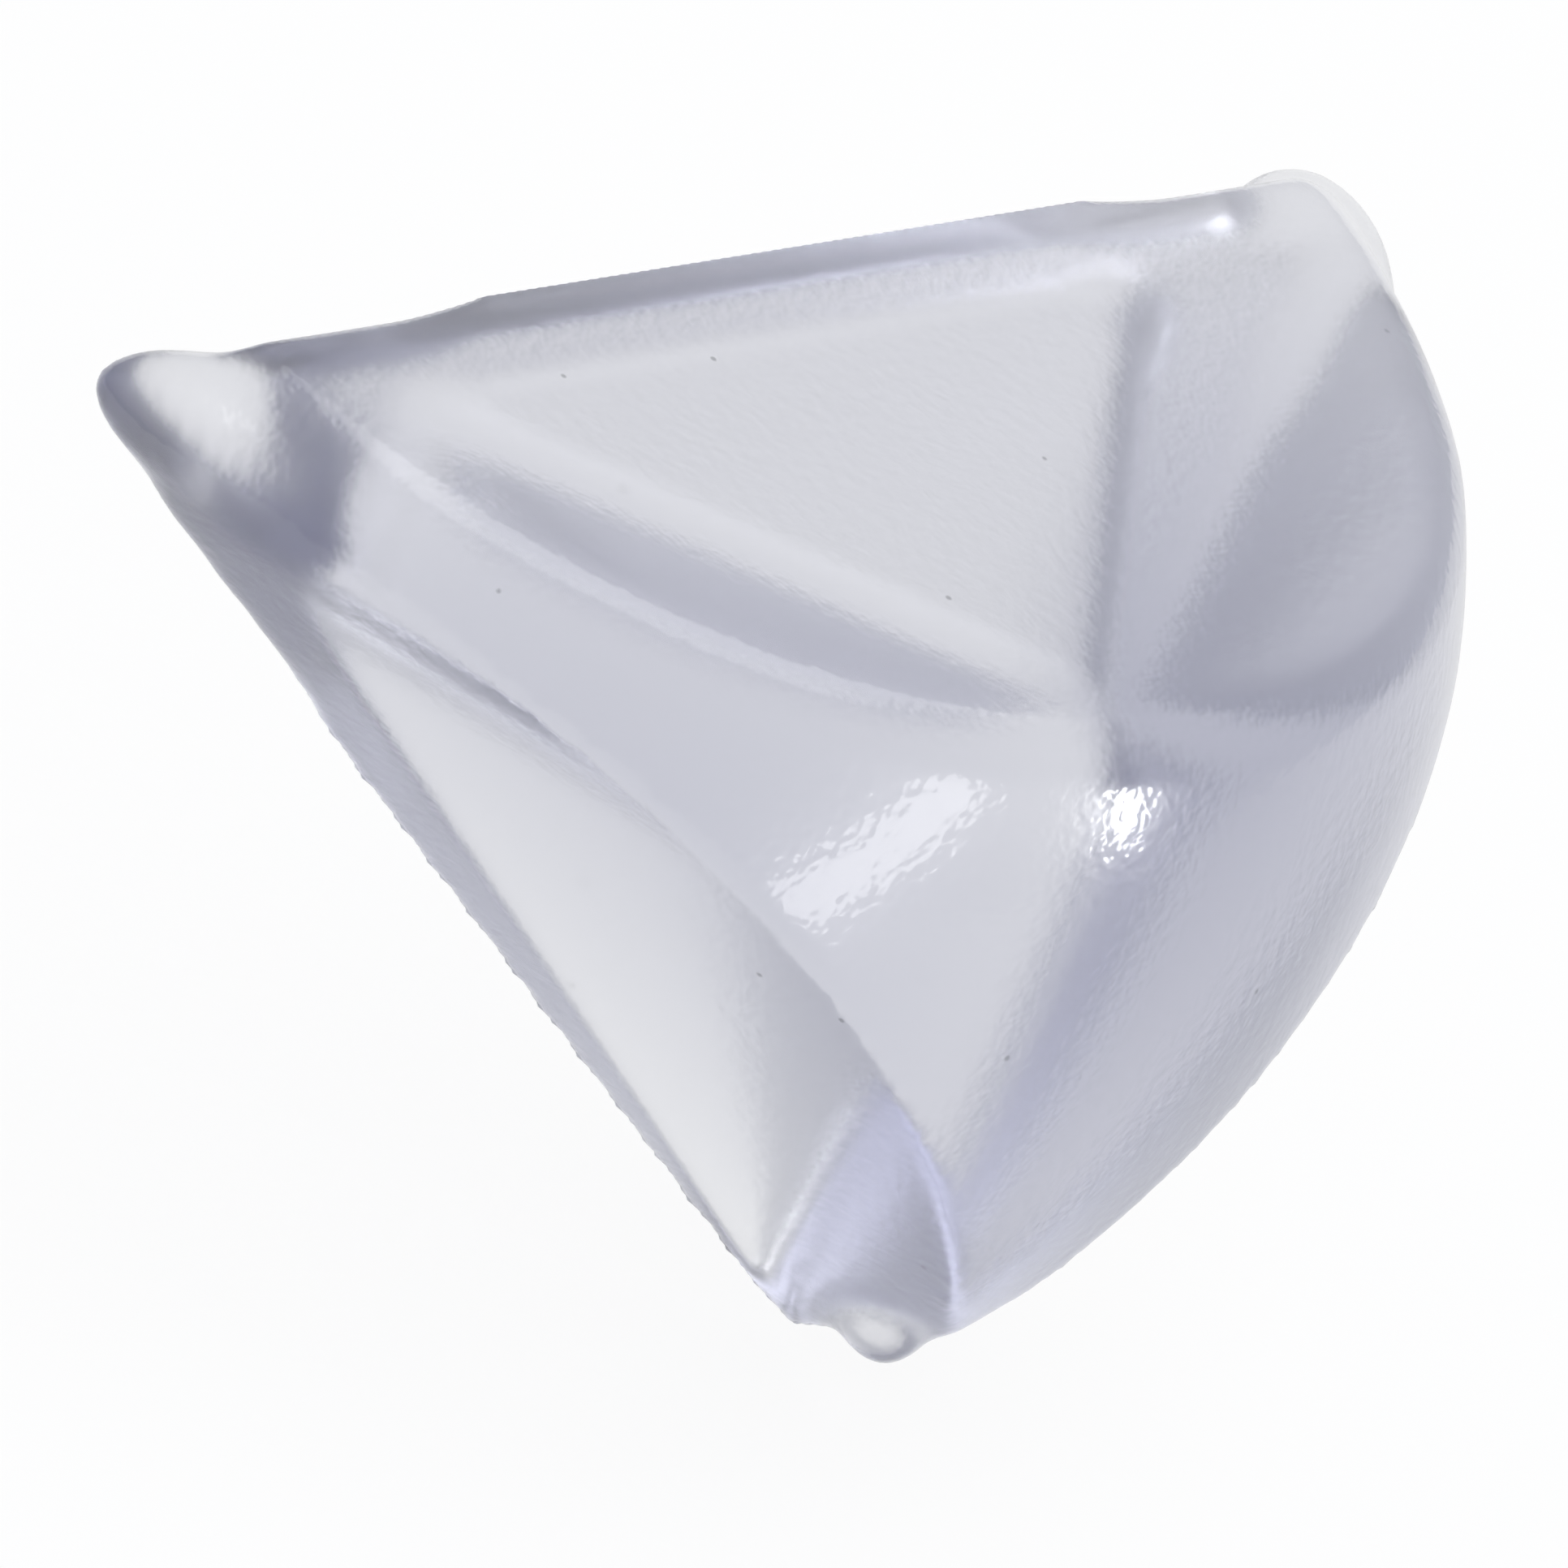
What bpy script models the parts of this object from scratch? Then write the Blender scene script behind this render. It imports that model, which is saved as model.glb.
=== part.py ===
"""Furniture corner protector: one clear moulding that caps the corner of a table or shelf.

The guard is a ball with a flat top, cut by a slanting mouth below, by the straight free edge of the top plate
and by one flat facet on each side, then hollowed by the cavity for the furniture. The three tips
are rounded.

Shapes are made with the furniture's corner at zero and the furniture in x < 0, y < 0, z < 0. The finished
mesh is moved so that the origin is the middle of the top seat, the same distance in from both side faces.
"""
import math

import bmesh
import bpy
from mathutils import Vector

MM = 0.001

# Driving sizes in millimetres and degrees
BALL_RADIUS = 26.5         # round outside of the guard
NOSE_WALL = 4.87           # wall outside each side face, taken on the ball's widest line at the nose
BALL_DROP = 8.36           # ball's centre below the furniture's top
TOP_THICKNESS = 5.2        # top plate over the furniture
TOP_ROLL = 2.5             # soft rounding between the flat top and the ball
FREE_EDGE = 25.0           # free edge of the top plate: x + y reaches minus this
MOUTH_DEPTH = 19.56        # mouth below the furniture's top, measured at the corner
MOUTH_SLOPE = 0.852        # rise of the mouth for each millimetre along a side
FACET_REACH = 14.61        # flat facet's distance from the ball's centre
FACET_TURN = 16.8          # degrees that the facet turns towards its tip
FACET_LEAN = 33.3          # degrees that the facet leans in towards the mouth
TIP_REACH = 31.84          # rounded tip's furthest point along a side
TIP_LONG = 6.0             # rounded tip's half length along the side
TIP_WIDE = 3.1             # its half width across the side
TIP_HIGH = 1.9             # its half height
TIP_OUT = 4.3              # its middle outside the side face
TIP_RISE = 2.4             # its middle above the furniture's top
NOSE_LOBE = 1.4            # small round lobe at the lower tip
NOSE_LOBE_LENGTH = 8.0     # how far that lobe runs up into the guard
NOSE_OUT = 2.50            # that lobe's middle outside both side faces
NOSE_DROP = 17.60          # its middle below the furniture's top
CAVITY_ROUND = 1.5         # rounding between the cavity's faces
SEAT_INSET = 8.0           # origin's distance in from both side faces of the furniture

# Fineness of the round shapes
TURN_STEPS = 72
BALL_STEPS = 20
ROLL_STEPS = 6
LOBE_STEPS = 28
CAVITY_STEPS = 4
REACH = 70.0               # longer than anything on the guard


def clear_scene():
    for thing in list(bpy.data.objects):
        bpy.data.objects.remove(thing)


def new_collection(name):
    collection = bpy.data.collections.new(name)
    bpy.context.scene.collection.children.link(collection)
    return collection


def mesh_object(name, bm, collection):
    """Turn a bmesh in millimetres into an object in metres, with the seat's middle at the origin."""
    bm.normal_update()
    bmesh.ops.recalc_face_normals(bm, faces=bm.faces)
    bmesh.ops.translate(bm, vec=(SEAT_INSET, SEAT_INSET, 0), verts=bm.verts)
    bmesh.ops.scale(bm, vec=(MM, MM, MM), verts=bm.verts)
    mesh = bpy.data.meshes.new(name)
    bm.to_mesh(mesh)
    bm.free()
    thing = bpy.data.objects.new(name, mesh)
    collection.objects.link(thing)
    return thing


def cutter_object(name, bm, collection):
    thing = mesh_object(name, bm, collection)
    thing.hide_render = True
    thing.display_type = "WIRE"
    return thing


def ball_centre():
    side = NOSE_WALL - BALL_RADIUS * math.sqrt(0.5)
    return Vector((side, side, -BALL_DROP))


def ball_profile():
    """Half outline of the flat-topped ball as (radius, height) pairs, from the bottom pole to the top."""
    roll_height = TOP_THICKNESS - TOP_ROLL + BALL_DROP
    roll_radius = math.sqrt((BALL_RADIUS - TOP_ROLL) ** 2 - roll_height ** 2)
    meeting = math.atan2(roll_height, roll_radius)
    profile = []
    for step in range(1, BALL_STEPS + 1):
        angle = -math.pi / 2 + (meeting + math.pi / 2) * step / BALL_STEPS
        profile.append((BALL_RADIUS * math.cos(angle), BALL_RADIUS * math.sin(angle)))
    for step in range(1, ROLL_STEPS + 1):
        angle = meeting + (math.pi / 2 - meeting) * step / ROLL_STEPS
        profile.append((roll_radius + TOP_ROLL * math.cos(angle), roll_height + TOP_ROLL * math.sin(angle)))
    return profile


def make_body(collection):
    """Turn the profile about the upright line through the ball's centre."""
    centre = ball_centre()
    bm = bmesh.new()
    pole = bm.verts.new(centre + Vector((0, 0, -BALL_RADIUS)))
    rings = []
    for radius, height in ball_profile():
        ring = []
        for step in range(TURN_STEPS):
            angle = 2 * math.pi * (step + 0.5) / TURN_STEPS + math.pi / 4
            place = Vector((radius * math.cos(angle), radius * math.sin(angle), height))
            ring.append(bm.verts.new(centre + place))
        rings.append(ring)
    for step in range(TURN_STEPS):
        after = (step + 1) % TURN_STEPS
        bm.faces.new((pole, rings[0][after], rings[0][step]))
        for low, high in zip(rings, rings[1:]):
            bm.faces.new((low[step], low[after], high[after], high[step]))
    bm.faces.new(rings[-1])
    return mesh_object("corner_guard", bm, collection)


def half_space(name, point, normal, collection):
    """A big cube that starts at the point and lies on the side that the normal points to."""
    bm = bmesh.new()
    bmesh.ops.create_cube(bm, size=2 * REACH)
    turn = Vector(normal).normalized().to_track_quat("Z", "Y")
    for vert in bm.verts:
        vert.co = turn @ (vert.co + Vector((0, 0, REACH))) + Vector(point)
    return cutter_object(name, bm, collection)


def make_facet(name, swap, collection):
    """Flat facet on one side of the ball."""
    turn = math.radians(FACET_TURN)
    lean = math.radians(FACET_LEAN)
    normal = Vector((math.cos(turn) * math.cos(lean), -math.sin(turn) * math.cos(lean), -math.sin(lean)))
    if swap:
        normal = Vector((normal.y, normal.x, normal.z))
    return half_space(name, ball_centre() + normal * FACET_REACH, normal, collection)


def make_tip(name, swap, collection):
    """Egg shape that rounds one end of the free edge."""
    bm = bmesh.new()
    bmesh.ops.create_uvsphere(bm, u_segments=LOBE_STEPS, v_segments=LOBE_STEPS // 2, radius=1.0)
    for vert in bm.verts:
        across = TIP_OUT + vert.co.x * TIP_WIDE
        along = TIP_LONG - TIP_REACH + vert.co.y * TIP_LONG
        height = vert.co.z * TIP_HIGH + TIP_RISE
        vert.co = Vector((along, across, height)) if swap else Vector((across, along, height))
    return cutter_object(name, bm, collection)


def make_nose_lobe(collection):
    """A bar with a round end at the lower tip, running up into the guard."""
    bm = bmesh.new()
    bmesh.ops.create_uvsphere(bm, u_segments=LOBE_STEPS, v_segments=LOBE_STEPS // 2, radius=NOSE_LOBE)
    for vert in bm.verts:
        if vert.co.z > NOSE_LOBE * 0.01:
            vert.co.z += NOSE_LOBE_LENGTH
        vert.co += Vector((NOSE_OUT, NOSE_OUT, -NOSE_DROP))
    return cutter_object("nose_lobe", bm, collection)


def make_cavity(collection):
    """The furniture's corner as a cube with its three meeting edges rounded."""
    bm = bmesh.new()
    bmesh.ops.create_cube(bm, size=REACH)
    for vert in bm.verts:
        vert.co -= Vector((REACH, REACH, REACH)) / 2
    meeting = []
    for edge in bm.edges:
        flat = [axis for axis in range(3) if all(abs(vert.co[axis]) < 1e-4 for vert in edge.verts)]
        if len(flat) == 2:
            meeting.append(edge)
    bmesh.ops.bevel(bm, geom=meeting, offset=CAVITY_ROUND, offset_type="OFFSET", segments=CAVITY_STEPS,
                    profile=0.5, affect="EDGES")
    return cutter_object("cavity", bm, collection)


def combine(thing, other, operation):
    modifier = thing.modifiers.new(other.name, "BOOLEAN")
    modifier.object = other
    modifier.operation = operation
    modifier.solver = "EXACT"


def clear_plastic():
    material = bpy.data.materials.new("clear_soft_plastic")
    material.use_nodes = True
    shader = material.node_tree.nodes["Principled BSDF"]
    shader.inputs["Base Color"].default_value = (0.80, 0.81, 0.84, 1.0)
    shader.inputs["Metallic"].default_value = 0.0
    shader.inputs["Roughness"].default_value = 0.25
    shader.inputs["IOR"].default_value = 1.5
    shader.inputs["Transmission Weight"].default_value = 0.9
    return material


def build():
    clear_scene()
    parts = new_collection("furniture_corner_protector")
    cutters = new_collection("cutters")
    guard = make_body(parts)
    combine(guard, make_facet("facet_x", False, cutters), "DIFFERENCE")
    combine(guard, make_facet("facet_y", True, cutters), "DIFFERENCE")
    edge = Vector((-FREE_EDGE / 2, -FREE_EDGE / 2, 0))
    combine(guard, half_space("free_edge", edge, (-1, -1, 0), cutters), "DIFFERENCE")
    below = (-MOUTH_SLOPE, -MOUTH_SLOPE, -1)
    combine(guard, half_space("mouth", (0, 0, -MOUTH_DEPTH), below, cutters), "DIFFERENCE")
    combine(guard, make_tip("tip_x", False, cutters), "UNION")
    combine(guard, make_tip("tip_y", True, cutters), "UNION")
    combine(guard, make_nose_lobe(cutters), "UNION")
    combine(guard, make_cavity(cutters), "DIFFERENCE")
    guard.data.materials.append(clear_plastic())
    guard.data.shade_smooth()
    guard.data.set_sharp_from_angle(angle=math.radians(30))


build()
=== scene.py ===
import math

import bpy
from mathutils import Matrix, Vector


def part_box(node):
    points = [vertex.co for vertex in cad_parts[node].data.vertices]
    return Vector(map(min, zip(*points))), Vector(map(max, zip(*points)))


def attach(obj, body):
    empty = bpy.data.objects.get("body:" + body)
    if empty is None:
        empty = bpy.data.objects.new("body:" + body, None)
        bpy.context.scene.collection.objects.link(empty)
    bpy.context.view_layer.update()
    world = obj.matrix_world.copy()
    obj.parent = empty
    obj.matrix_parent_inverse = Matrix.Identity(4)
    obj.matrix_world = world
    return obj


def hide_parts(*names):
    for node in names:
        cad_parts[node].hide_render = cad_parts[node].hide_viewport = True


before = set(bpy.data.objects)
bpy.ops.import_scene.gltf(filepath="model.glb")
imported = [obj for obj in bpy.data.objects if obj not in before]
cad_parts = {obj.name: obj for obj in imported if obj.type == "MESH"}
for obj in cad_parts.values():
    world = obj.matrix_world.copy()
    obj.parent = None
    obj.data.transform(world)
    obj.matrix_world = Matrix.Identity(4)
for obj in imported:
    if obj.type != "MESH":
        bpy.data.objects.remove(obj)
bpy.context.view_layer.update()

MM = 0.001

# Sizes of the guard in millimetres and its angles, to the hundredth as in the solids
BALL_RADIUS = 26.5
BALL_CENTRE = Vector((-5.87, -5.87, -8.36))
CORNER = Vector((8.0, 8.0, 0.0))
TOP_THICKNESS = 5.2
TOP_ROLL = 2.5
FREE_EDGE = 25.0
MOUTH_DEPTH = 19.56
MOUTH_SLOPE = 0.852
FACET_REACH = 14.61
FACET_TURN = math.radians(16.8)
FACET_LEAN = math.radians(33.3)
CAVITY_ROUND = 1.5

# Rounded tips, with their middles given from the furniture's corner
TIP_CENTRE = Vector((4.3, -25.84, 2.4))
TIP_HALF = Vector((3.1, 6.0, 1.9))
NOSE_CENTRE = Vector((2.50, 2.50, -17.60))
NOSE_LOBE = 1.4
NOSE_LOBE_LENGTH = 8.0

# Fineness of the round shapes
BALL_STEPS = 64
ROLL_STEPS = 12
TURN_STEPS = 160
TIP_STEPS = 64
LOBE_STEPS = 48
CAVITY_STEPS = 8

# Soft look of the moulding, where passes are smoothing passes and the rest is in millimetres
VOXEL = 0.3
SKIN_PASSES = 4
BLEND_PASSES = 60
TIP_BLEND = 9.5
NOSE_BLEND = 4.5
BLEND_FADE = 3.0

# Cubes that cut the guard in millimetres, far larger than it
SLICE_SIZE = 140.0
CAVITY_SIZE = 60.0

# Places closer together than this in millimetres count as the same
TOLERANCE = 0.005


# Modelling helpers

def deselect_all():
    if bpy.context.object and bpy.context.object.mode != "OBJECT":
        bpy.ops.object.mode_set(mode="OBJECT")
    bpy.ops.object.select_all(action="DESELECT")


def pick(thing):
    deselect_all()
    thing.select_set(True)
    bpy.context.view_layer.objects.active = thing


def settle(thing):
    """Put the object's place into its mesh."""
    pick(thing)
    bpy.ops.object.transform_apply(location=True, rotation=True, scale=True)
    return thing


def apply_modifier(thing, kind, **settings):
    pick(thing)
    modifier = thing.modifiers.new(kind.title(), kind)
    for name, value in settings.items():
        setattr(modifier, name, value)
    bpy.ops.object.modifier_apply(modifier=modifier.name)


def join_or_cut(thing, other, operation):
    apply_modifier(thing, "BOOLEAN", object=other, operation=operation, solver="EXACT")
    bpy.data.objects.remove(other)


def select_where(thing, kind, test):
    """Enter edit mode with only those vertices or edges selected that pass the test."""
    pick(thing)
    bpy.ops.object.mode_set(mode="EDIT")
    bpy.ops.mesh.select_mode(type=kind)
    bpy.ops.mesh.select_all(action="DESELECT")
    bpy.ops.object.mode_set(mode="OBJECT")
    items = thing.data.vertices if kind == "VERT" else thing.data.edges
    for item in items:
        item.select = test(item)
    bpy.ops.object.mode_set(mode="EDIT")


def slice_off(thing, point, normal):
    """Take away what lies on the side of the plane that the normal points to."""
    outward = Vector(normal).normalized()
    middle = Vector(point) + outward * SLICE_SIZE / 2
    deselect_all()
    bpy.ops.mesh.primitive_cube_add(size=SLICE_SIZE * MM, location=middle * MM,
                                    rotation=outward.to_track_quat("Z", "Y").to_euler())
    join_or_cut(thing, settle(bpy.context.object), "DIFFERENCE")


def mirrored(place):
    """The same place or direction on the guard's other side."""
    return Vector((place.y, place.x, place.z))


# Guard

def ball_outline():
    """Half outline of the flat-topped ball as (radius, height) pairs about its centre."""
    roll_height = TOP_THICKNESS - TOP_ROLL - BALL_CENTRE.z
    roll_radius = math.sqrt((BALL_RADIUS - TOP_ROLL) ** 2 - roll_height ** 2)
    bottom = -math.pi / 2
    meeting = math.atan2(roll_height, roll_radius)
    top = math.pi / 2
    outline = []
    for step in range(BALL_STEPS + 1):
        angle = bottom + (meeting - bottom) * step / BALL_STEPS
        outline.append((BALL_RADIUS * math.cos(angle), BALL_RADIUS * math.sin(angle)))
    for step in range(1, ROLL_STEPS + 1):
        angle = meeting + (top - meeting) * step / ROLL_STEPS
        radius = roll_radius + TOP_ROLL * math.cos(angle)
        outline.append((radius, roll_height + TOP_ROLL * math.sin(angle)))
    outline.append((0.0, TOP_THICKNESS - BALL_CENTRE.z))
    return outline


def make_ball():
    """Spin the outline about the upright line through the ball's centre."""
    points = [(BALL_CENTRE + Vector((radius, 0, height))) * MM for radius, height in ball_outline()]
    mesh = bpy.data.meshes.new("guard")
    mesh.from_pydata(points, [(step, step + 1) for step in range(len(points) - 1)], [])
    ball = bpy.data.objects.new("guard", mesh)
    bpy.context.scene.collection.objects.link(ball)
    pick(ball)
    bpy.ops.object.mode_set(mode="EDIT")
    bpy.ops.mesh.select_all(action="SELECT")
    bpy.ops.mesh.spin(steps=TURN_STEPS, angle=2 * math.pi, center=BALL_CENTRE * MM, axis=(0, 0, 1))
    bpy.ops.mesh.select_all(action="SELECT")
    bpy.ops.mesh.remove_doubles(threshold=TOLERANCE * MM)
    bpy.ops.mesh.normals_make_consistent(inside=False)
    bpy.ops.object.mode_set(mode="OBJECT")
    return ball


def facet_normal():
    flat = math.cos(FACET_LEAN)
    return Vector((math.cos(FACET_TURN) * flat, -math.sin(FACET_TURN) * flat, -math.sin(FACET_LEAN)))


def make_tip(centre, half):
    """Egg shape that rounds one end of the free edge."""
    deselect_all()
    bpy.ops.mesh.primitive_uv_sphere_add(segments=TIP_STEPS, ring_count=TIP_STEPS // 2, radius=MM,
                                         scale=half, location=(centre + CORNER) * MM)
    return settle(bpy.context.object)


def make_nose_lobe():
    """Round-ended bar at the lower tip: a ball whose upper half is drawn up into the guard."""
    deselect_all()
    bpy.ops.mesh.primitive_uv_sphere_add(segments=LOBE_STEPS, ring_count=LOBE_STEPS // 2,
                                         radius=NOSE_LOBE * MM)
    lobe = bpy.context.object
    select_where(lobe, "VERT", lambda vertex: vertex.co.z > TOLERANCE * MM)
    bpy.ops.transform.translate(value=(0, 0, NOSE_LOBE_LENGTH * MM))
    bpy.ops.object.mode_set(mode="OBJECT")
    lobe.location = (NOSE_CENTRE + CORNER) * MM
    return settle(lobe)


def make_cavity():
    """The furniture's corner, with the three edges that meet there rounded."""
    middle = CORNER - Vector((1, 1, 1)) * CAVITY_SIZE / 2
    deselect_all()
    bpy.ops.mesh.primitive_cube_add(size=CAVITY_SIZE * MM, location=middle * MM)
    cavity = settle(bpy.context.object)

    def meets_corner(edge):
        ends = [cavity.data.vertices[index].co / MM - CORNER for index in edge.vertices]
        flat = [axis for axis in range(3) if all(abs(end[axis]) < TOLERANCE for end in ends)]
        return len(flat) == 2

    select_where(cavity, "EDGE", meets_corner)
    bpy.ops.mesh.bevel(offset=CAVITY_ROUND * MM, segments=CAVITY_STEPS, profile=0.5, affect="EDGES")
    bpy.ops.object.mode_set(mode="OBJECT")
    return cavity


def soften(guard):
    """Even out the mesh, then melt the three tips into the body."""
    apply_modifier(guard, "REMESH", mode="VOXEL", voxel_size=VOXEL * MM)
    apply_modifier(guard, "SMOOTH", factor=0.5, iterations=SKIN_PASSES)
    tips = ((TIP_CENTRE, TIP_BLEND), (mirrored(TIP_CENTRE), TIP_BLEND), (NOSE_CENTRE, NOSE_BLEND))
    blend = guard.vertex_groups.new(name="tips")
    for vertex in guard.data.vertices:
        place = vertex.co / MM - CORNER
        weight = max((reach - (place - centre).length) / BLEND_FADE for centre, reach in tips)
        if weight > 0:
            blend.add([vertex.index], min(1.0, weight), "REPLACE")
    apply_modifier(guard, "SMOOTH", factor=0.5, iterations=BLEND_PASSES, vertex_group=blend.name)
    pick(guard)
    bpy.ops.object.shade_smooth_by_angle(angle=math.radians(45))


def make_guard():
    guard = make_ball()
    for normal in (facet_normal(), mirrored(facet_normal())):
        slice_off(guard, BALL_CENTRE + normal * FACET_REACH, normal)
    slice_off(guard, CORNER - Vector((FREE_EDGE / 2, FREE_EDGE / 2, 0)), (-1, -1, 0))
    slice_off(guard, CORNER - Vector((0, 0, MOUTH_DEPTH)), (-MOUTH_SLOPE, -MOUTH_SLOPE, -1))
    join_or_cut(guard, make_tip(TIP_CENTRE, TIP_HALF), "UNION")
    join_or_cut(guard, make_tip(mirrored(TIP_CENTRE), mirrored(TIP_HALF)), "UNION")
    join_or_cut(guard, make_nose_lobe(), "UNION")
    join_or_cut(guard, make_cavity(), "DIFFERENCE")
    soften(guard)
    return guard


# Material

def set_values(node, values):
    for socket, value in values.items():
        node.inputs[socket].default_value = value


def add_node(tree, kind, values):
    """New shader node with plain values on its inputs."""
    node = tree.nodes.new(kind)
    set_values(node, values)
    return node


def clear_soft_plastic():
    """Clear plastic with a satin skin, a few dark specks and a faint lilac tint in its depth."""
    material = bpy.data.materials.new("clear soft plastic")
    material.use_nodes = True
    tree = material.node_tree
    shader = tree.nodes["Principled BSDF"]
    set_values(shader, {"Roughness": 0.26, "IOR": 1.46, "Transmission Weight": 1.0,
                        "Coat Weight": 0.6, "Coat Roughness": 0.08})
    place = tree.nodes.new("ShaderNodeTexCoord")

    inside = add_node(tree, "ShaderNodeVolumeAbsorption",
                      {"Color": (0.76, 0.765, 0.83, 1), "Density": 125.0})
    tree.links.new(inside.outputs["Volume"], tree.nodes["Material Output"].inputs["Volume"])

    speck = add_node(tree, "ShaderNodeTexVoronoi", {"Scale": 260.0})
    speck_mask = add_node(tree, "ShaderNodeMapRange",
                          {"From Min": 0.018, "From Max": 0.032, "To Min": 0.35, "To Max": 1.0})
    shade = tree.nodes.new("ShaderNodeMix")
    shade.data_type = "RGBA"
    shade.blend_type = "MULTIPLY"
    set_values(shade, {"Factor": 1.0, "A": (0.96, 0.963, 0.97, 1)})
    tree.links.new(place.outputs["Object"], speck.inputs["Vector"])
    tree.links.new(speck.outputs["Distance"], speck_mask.inputs["Value"])
    tree.links.new(speck_mask.outputs["Result"], shade.inputs["B"])
    tree.links.new(shade.outputs["Result"], shader.inputs["Base Color"])

    peel = add_node(tree, "ShaderNodeTexNoise", {"Scale": 2600.0, "Detail": 1.0})
    bump = add_node(tree, "ShaderNodeBump", {"Strength": 0.5, "Distance": 0.03 * MM})
    tree.links.new(place.outputs["Object"], peel.inputs["Vector"])
    tree.links.new(peel.outputs["Fac"], bump.inputs["Height"])
    tree.links.new(bump.outputs["Normal"], shader.inputs["Normal"])
    tree.links.new(bump.outputs["Normal"], shader.inputs["Coat Normal"])
    return material


# Stage

def split_for_camera(tree, unseen, seen, output):
    """Show one shader where the camera looks straight at it, and the other to all other light."""
    path = tree.nodes.new("ShaderNodeLightPath")
    mix = tree.nodes.new("ShaderNodeMixShader")
    tree.links.new(path.outputs["Is Camera Ray"], mix.inputs["Fac"])
    tree.links.new(unseen.outputs[0], mix.inputs[1])
    tree.links.new(seen.outputs[0], mix.inputs[2])
    tree.links.new(mix.outputs[0], output.inputs["Surface"])


def make_floor(height):
    """Floor that looks almost white and still takes the guard's shadow."""
    deselect_all()
    bpy.ops.mesh.primitive_plane_add(size=6.0, location=(0, 0, height))
    floor = settle(bpy.context.object)
    floor.name = "floor"
    material = bpy.data.materials.new("pale floor")
    material.use_nodes = True
    tree = material.node_tree
    paint = tree.nodes["Principled BSDF"]
    set_values(paint, {"Base Color": (0.85, 0.86, 0.88, 1), "Roughness": 0.9, "Specular IOR Level": 0.1})
    glow = add_node(tree, "ShaderNodeEmission", {"Color": (1, 1, 1, 1)})
    seen = add_node(tree, "ShaderNodeMixShader", {"Fac": 0.90})
    tree.links.new(paint.outputs[0], seen.inputs[1])
    tree.links.new(glow.outputs[0], seen.inputs[2])
    grey = add_node(tree, "ShaderNodeEmission", {"Color": (0.90, 0.903, 0.91, 1)})
    split_for_camera(tree, grey, seen, tree.nodes["Material Output"])
    floor.data.materials.append(material)


def make_world():
    """Soft light that is brighter from above, behind a background that looks white."""
    world = bpy.data.worlds.new("studio")
    bpy.context.scene.world = world
    world.use_nodes = True
    tree = world.node_tree
    soft = tree.nodes["Background"]
    place = tree.nodes.new("ShaderNodeTexCoord")
    split = tree.nodes.new("ShaderNodeSeparateXYZ")
    ramp = tree.nodes.new("ShaderNodeValToRGB")
    low, high = ramp.color_ramp.elements
    low.position = 0.0
    low.color = (0.44, 0.45, 0.50, 1)
    high.position = 0.75
    high.color = (0.97, 0.975, 0.98, 1)
    tree.links.new(place.outputs["Generated"], split.inputs[0])
    tree.links.new(split.outputs["Z"], ramp.inputs["Fac"])
    tree.links.new(ramp.outputs["Color"], soft.inputs["Color"])
    white = add_node(tree, "ShaderNodeBackground", {"Color": (1, 1, 1, 1)})
    split_for_camera(tree, soft, white, tree.nodes["World Output"])


def add_to_stage(name, data, place, axes):
    """Put a lamp or camera at a place in metres, with its own axes along the given ones."""
    holder = bpy.data.objects.new(name, data)
    bpy.context.scene.collection.objects.link(holder)
    holder.matrix_world = Matrix.Translation(place) @ Matrix(axes).transposed().to_4x4()
    return holder


def add_softbox(name, direction, upward, distance, width, height, power):
    """Rectangular lamp that faces the guard, in metres and watts. Its height runs along upward."""
    lamp = bpy.data.lights.new(name, "AREA")
    lamp.shape = "RECTANGLE"
    lamp.size = width
    lamp.size_y = height
    lamp.energy = power
    away = Vector(direction).normalized()
    side = Vector(upward).cross(away).normalized()
    add_to_stage(name, lamp, away * distance, (side, away.cross(side), away))


def add_camera():
    """Long lens, rolled as in the photograph, with every length in millimetres."""
    right = Vector((-0.065, 0.902, 0.426)).normalized()
    toward = right.cross(Vector((-0.553, -0.388, 0.737))).normalized()
    up = toward.cross(right).normalized()

    # A point near the rim, and how far right of the frame's middle and above it the point lies
    rim_point = Vector((8.14, 12.1, 3.0))
    rim_point_right = 13.256
    rim_point_up = 0.370
    middle = rim_point - right * rim_point_right - up * rim_point_up

    distance = 1500.0
    frame_width = 44.62
    lens = bpy.data.cameras.new("camera")
    lens.sensor_width = 36.0
    lens.lens = lens.sensor_width * distance / frame_width
    lens.clip_start = 0.01
    place = (middle + toward * distance) * MM
    bpy.context.scene.camera = add_to_stage("camera", lens, place, (right, up, toward))


# The part and its stage

guard = make_guard()
guard.data.materials.clear()
guard.data.materials.append(clear_soft_plastic())
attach(guard, "root")
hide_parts("corner_guard")

make_floor(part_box("corner_guard")[0].z - 0.05 * MM)
make_world()
add_softbox("overhead", direction=(-0.25, 0.10, 1.0), upward=(0, 1, 0),
            distance=0.5, width=0.30, height=0.30, power=0.5)
add_softbox("nose glint", direction=(0.237, 0.967, 0.14), upward=(0, 0, 1),
            distance=0.35, width=0.03, height=0.05, power=0.16)
add_softbox("side strip", direction=(0.247, 0.231, 0.0435), upward=(-0.091, 0.078, 0.105),
            distance=0.34, width=0.045, height=0.17, power=0.13)
add_camera()
bpy.context.scene.view_settings.view_transform = "Standard"
